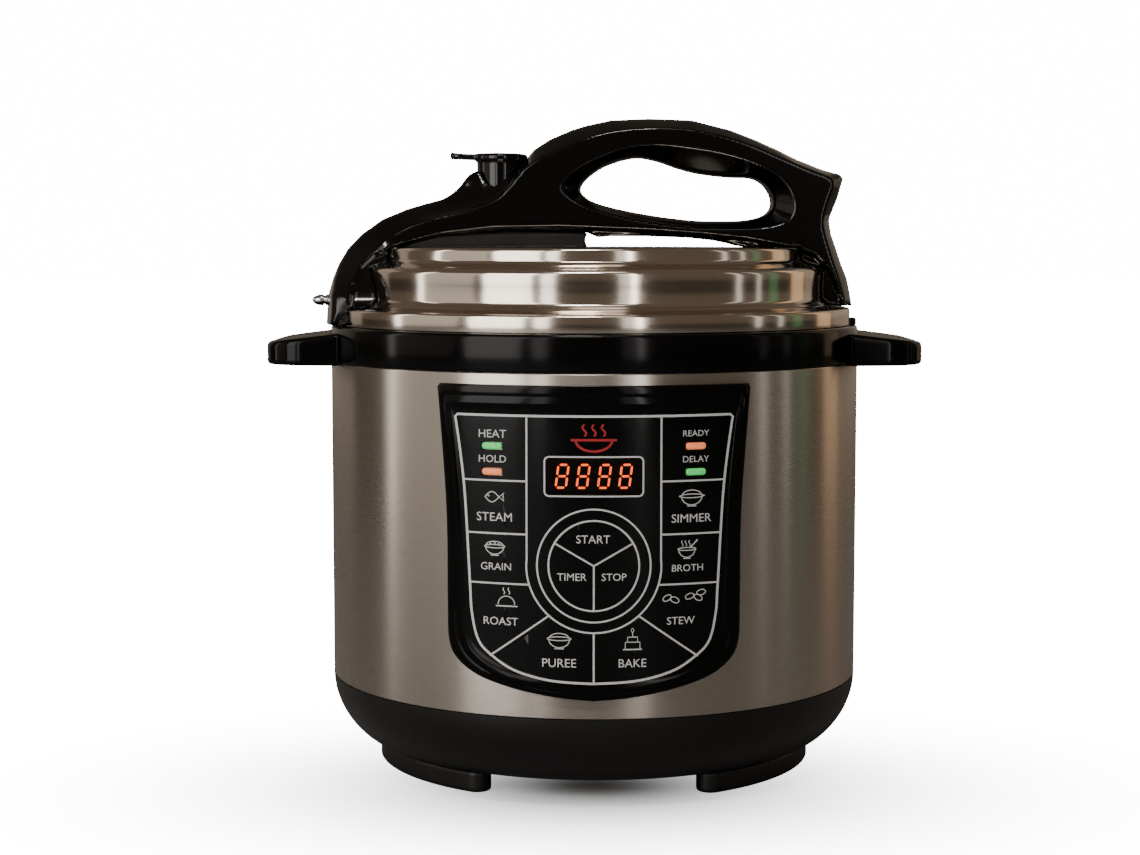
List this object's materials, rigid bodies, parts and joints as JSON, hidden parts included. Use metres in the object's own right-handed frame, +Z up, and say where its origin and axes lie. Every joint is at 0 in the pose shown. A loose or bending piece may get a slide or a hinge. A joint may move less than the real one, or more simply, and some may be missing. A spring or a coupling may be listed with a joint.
{
  "type": "electric pressure cooker",
  "caption": "Round electric pressure cooker: brushed steel drum and two-tier lid, black base, collar, ears, arched lid handle with exhaust valve, and a curved front key panel.",
  "frame": {"origin": "on the table, in the middle of the cooker's plan box; the pot's axis stands 12.1 mm in front of it", "axes": "+Z up, -Y is the front with the key panel, +X is to the right; the lid handle runs along X"},
  "size_m": [0.332, 0.3034, 0.3298],
  "materials": {
    "black_gloss": "gloss",
    "black_matt": "matte",
    "black_satin": "satin",
    "steel": "satin",
    "steel_dark": "satin",
    "chrome": "polished",
    "aluminium": "satin",
    "brass": "satin",
    "film": "gloss",
    "silicone": "matte",
    "board": "satin",
    "smoke": "gloss",
    "lamp_green": "gloss",
    "lamp_orange": "gloss"
  },
  "bodies": {
    "cooker": {"base_housing": "black_matt", "bottom_cover": "black_matt", "foot_front_left": "black_matt", "foot_front_right": "black_matt", "foot_rear_right": "black_matt", "foot_rear_left": "black_matt", "outer_shell": "steel", "top_collar": "black_gloss", "ear_left": "black_gloss", "ear_right": "black_gloss", "locking_ring": "steel_dark", "outer_pot": "steel_dark", "heating_plate": "aluminium", "plate_support": "steel_dark", "sensor_seat": "aluminium", "sensor_spring": "steel_dark", "pressure_switch": "black_satin", "power_board": "board", "panel_bezel": "black_gloss", "panel_film": "film", "display_window": "smoke", "lamp_left_upper": "lamp_green", "lamp_left_lower": "lamp_orange", "lamp_right_upper": "lamp_orange", "lamp_right_lower": "lamp_green", "control_board": "board", "display_module": "smoke", "power_inlet": "black_matt", "inlet_terminals": "brass", "cup_bracket": "black_matt"},
    "inner_pot": {"inner_pot": "steel_dark"},
    "sensor": {"temperature_sensor": "aluminium"},
    "cup": {"condensation_cup": "black_satin"},
    "lid_carrier": {"sealing_ring": "silicone"},
    "lid": {"lid_shell": "steel", "lid_rim": "steel_dark", "inner_cover": "steel_dark", "lid_handle": "black_gloss", "handle_base": "black_satin", "exhaust_pipe": "steel_dark", "valve_shield": "steel_dark", "lock_spring": "steel_dark"},
    "steam_valve": {"steam_valve": "black_gloss"},
    "float": {"float_pin": "steel_dark"},
    "lock": {"lock_pin": "chrome"},
    "key_fish": {"key_fish": "film"},
    "key_rice": {"key_rice": "film"},
    "key_meat": {"key_meat": "film"},
    "key_baby_food": {"key_baby_food": "film"},
    "key_cake": {"key_cake": "film"},
    "key_beans": {"key_beans": "film"},
    "key_soup": {"key_soup": "film"},
    "key_porridge": {"key_porridge": "film"},
    "key_texture": {"key_texture": "film"},
    "key_preset": {"key_preset": "film"},
    "key_cancel": {"key_cancel": "film"}
  },
  "joints": [
    {"name": "lid_lift", "type": "slide", "parent": "cooker", "child": "lid_carrier", "axis": [0, 0, 1], "range_m": [0, 0.32]},
    {"name": "lid_turn", "type": "hinge", "parent": "lid_carrier", "child": "lid", "pos_m": [0, -0.0121, 0.225], "axis": [0, 0, 1], "range_deg": [-30, 0]},
    {"name": "pot_lift", "type": "slide", "parent": "cooker", "child": "inner_pot", "axis": [0, 0, 1], "range_m": [0, 0.16]},
    {"name": "valve_turn", "type": "hinge", "parent": "lid", "child": "steam_valve", "pos_m": [-0.048, -0.0121, 0.3], "axis": [0, 0, 1], "range_deg": [0, 60]},
    {"name": "float_rise", "type": "slide", "parent": "lid", "child": "float", "axis": [0, 0, 1], "range_m": [0, 0.005]},
    {"name": "lock_press", "type": "slide", "parent": "lid", "child": "lock", "axis": [1, 0, 0], "range_m": [0, 0.004], "stiffness_N_per_m": 400, "springref_m": -0.002, "deforming": ["lock_spring"]},
    {"name": "sensor_press", "type": "slide", "parent": "cooker", "child": "sensor", "axis": [0, 0, -1], "range_m": [0, 0.0025], "stiffness_N_per_m": 600, "springref_m": -0.003, "deforming": ["sensor_spring"]},
    {"name": "cup_slide", "type": "slide", "parent": "cooker", "child": "cup", "axis": [0, 0, 1], "range_m": [0, 0.05]},
    {"name": "key_fish_press", "type": "slide", "parent": "cooker", "child": "key_fish", "axis": [0, 1, 0], "range_m": [0, 0.0004], "stiffness_N_per_m": 1500, "springref_m": -0.0002},
    {"name": "key_rice_press", "type": "slide", "parent": "cooker", "child": "key_rice", "axis": [0, 1, 0], "range_m": [0, 0.0004], "stiffness_N_per_m": 1500, "springref_m": -0.0002},
    {"name": "key_meat_press", "type": "slide", "parent": "cooker", "child": "key_meat", "axis": [0, 1, 0], "range_m": [0, 0.0004], "stiffness_N_per_m": 1500, "springref_m": -0.0002},
    {"name": "key_baby_food_press", "type": "slide", "parent": "cooker", "child": "key_baby_food", "axis": [0, 1, 0], "range_m": [0, 0.0004], "stiffness_N_per_m": 1500, "springref_m": -0.0002},
    {"name": "key_cake_press", "type": "slide", "parent": "cooker", "child": "key_cake", "axis": [0, 1, 0], "range_m": [0, 0.0004], "stiffness_N_per_m": 1500, "springref_m": -0.0002},
    {"name": "key_beans_press", "type": "slide", "parent": "cooker", "child": "key_beans", "axis": [0, 1, 0], "range_m": [0, 0.0004], "stiffness_N_per_m": 1500, "springref_m": -0.0002},
    {"name": "key_soup_press", "type": "slide", "parent": "cooker", "child": "key_soup", "axis": [0, 1, 0], "range_m": [0, 0.0004], "stiffness_N_per_m": 1500, "springref_m": -0.0002},
    {"name": "key_porridge_press", "type": "slide", "parent": "cooker", "child": "key_porridge", "axis": [0, 1, 0], "range_m": [0, 0.0004], "stiffness_N_per_m": 1500, "springref_m": -0.0002},
    {"name": "key_texture_press", "type": "slide", "parent": "cooker", "child": "key_texture", "axis": [0, 1, 0], "range_m": [0, 0.0004], "stiffness_N_per_m": 1500, "springref_m": -0.0002},
    {"name": "key_preset_press", "type": "slide", "parent": "cooker", "child": "key_preset", "axis": [0, 1, 0], "range_m": [0, 0.0004], "stiffness_N_per_m": 1500, "springref_m": -0.0002},
    {"name": "key_cancel_press", "type": "slide", "parent": "cooker", "child": "key_cancel", "axis": [0, 1, 0], "range_m": [0, 0.0004], "stiffness_N_per_m": 1500, "springref_m": -0.0002}
  ],
  "couplings": [
    {"joint": "pot_lift", "follows": "lid_lift", "ratio": 0.5}
  ]
}
